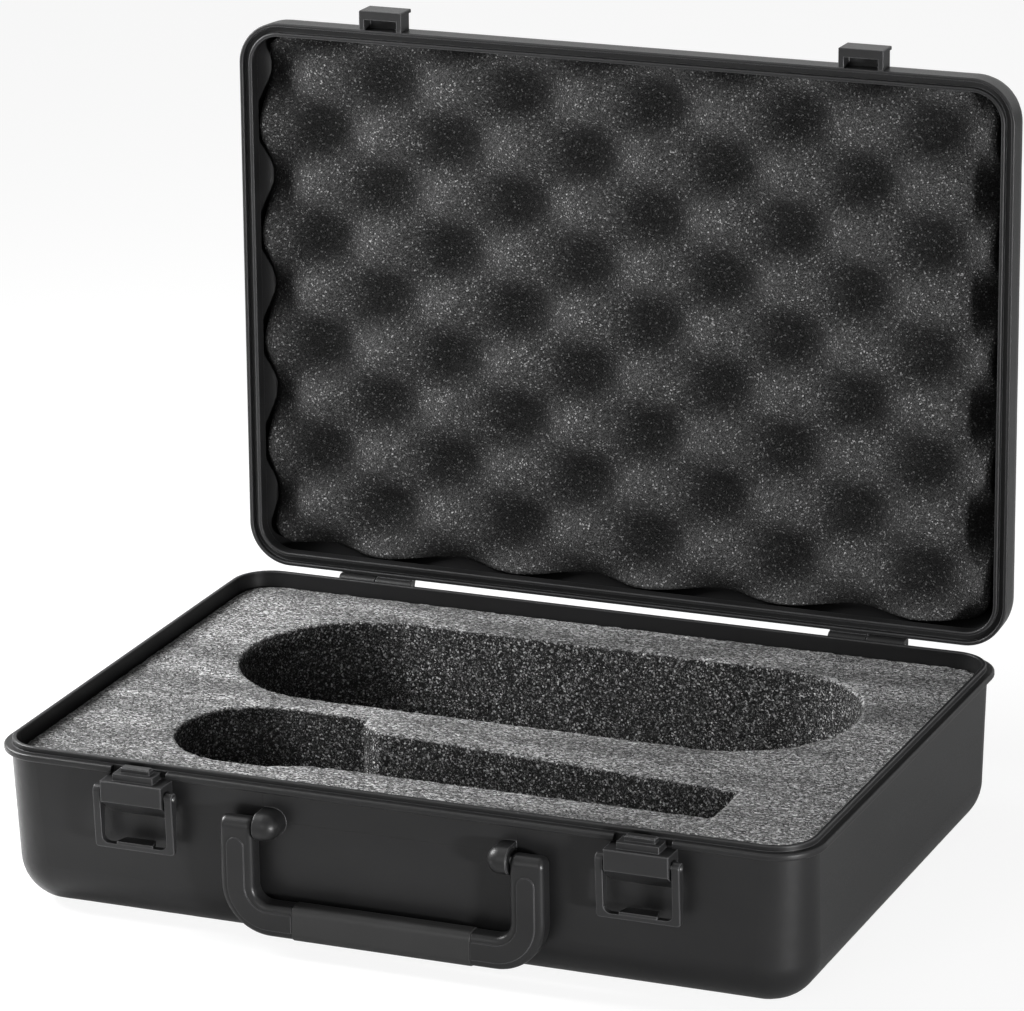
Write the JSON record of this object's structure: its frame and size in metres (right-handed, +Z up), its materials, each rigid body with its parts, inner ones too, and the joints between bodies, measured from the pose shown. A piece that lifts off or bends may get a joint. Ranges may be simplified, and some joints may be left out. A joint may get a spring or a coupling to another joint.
{
  "type": "microphone case",
  "caption": "Moulded carrying case with a hinged lid, foam pockets for a microphone, bail latches and a folding U-shaped handle.",
  "frame": {"origin": "centre of the flat underside of the base", "axes": "+X to the right along the front wall, +Y to the back towards the lid hinge, +Z up; the front with the handle faces -Y"},
  "size_m": [0.3, 0.2466, 0.2753],
  "materials": {
    "case_plastic": "satin moulded",
    "handle_plastic": "satin moulded",
    "grip_plastic": "matt moulded",
    "base_foam": "open-cell foam",
    "lid_foam": "open-cell foam",
    "pin_steel": "plain drawn"
  },
  "bodies": {
    "base": {"base_shell": "case_plastic", "base_foam_insert": "base_foam", "base_foam_pad": "base_foam", "latch_block_left": "case_plastic", "latch_pin_left": "pin_steel", "hinge_pin_left": "pin_steel", "handle_pin_left": "pin_steel", "latch_block_right": "case_plastic", "latch_pin_right": "pin_steel", "hinge_pin_right": "pin_steel", "handle_pin_right": "pin_steel"},
    "lid": {"lid_shell": "case_plastic", "lid_foam": "lid_foam", "keeper_left": "case_plastic", "keeper_right": "case_plastic"},
    "handle": {"handle_frame": "handle_plastic", "handle_grip": "grip_plastic"},
    "left_bail": {"latch_bail_left": "handle_plastic"},
    "right_bail": {"latch_bail_right": "handle_plastic"}
  },
  "joints": [
    {"name": "lid_hinge", "type": "hinge", "parent": "base", "child": "lid", "pos_m": [0, 0.1063, 0.058], "axis": [1, 0, 0], "range_deg": [0, 91]},
    {"name": "handle_swing", "type": "hinge", "parent": "base", "child": "handle", "pos_m": [0, -0.108, 0.0451], "axis": [-1, 0, 0], "range_deg": [0, 165]},
    {"name": "left_bail_swing", "type": "hinge", "parent": "base", "child": "left_bail", "pos_m": [-0.092, -0.1084, 0.0505], "axis": [-1, 0, 0], "range_deg": [0, 180]},
    {"name": "right_bail_swing", "type": "hinge", "parent": "base", "child": "right_bail", "pos_m": [0.092, -0.1084, 0.0505], "axis": [-1, 0, 0], "range_deg": [0, 180]}
  ]
}
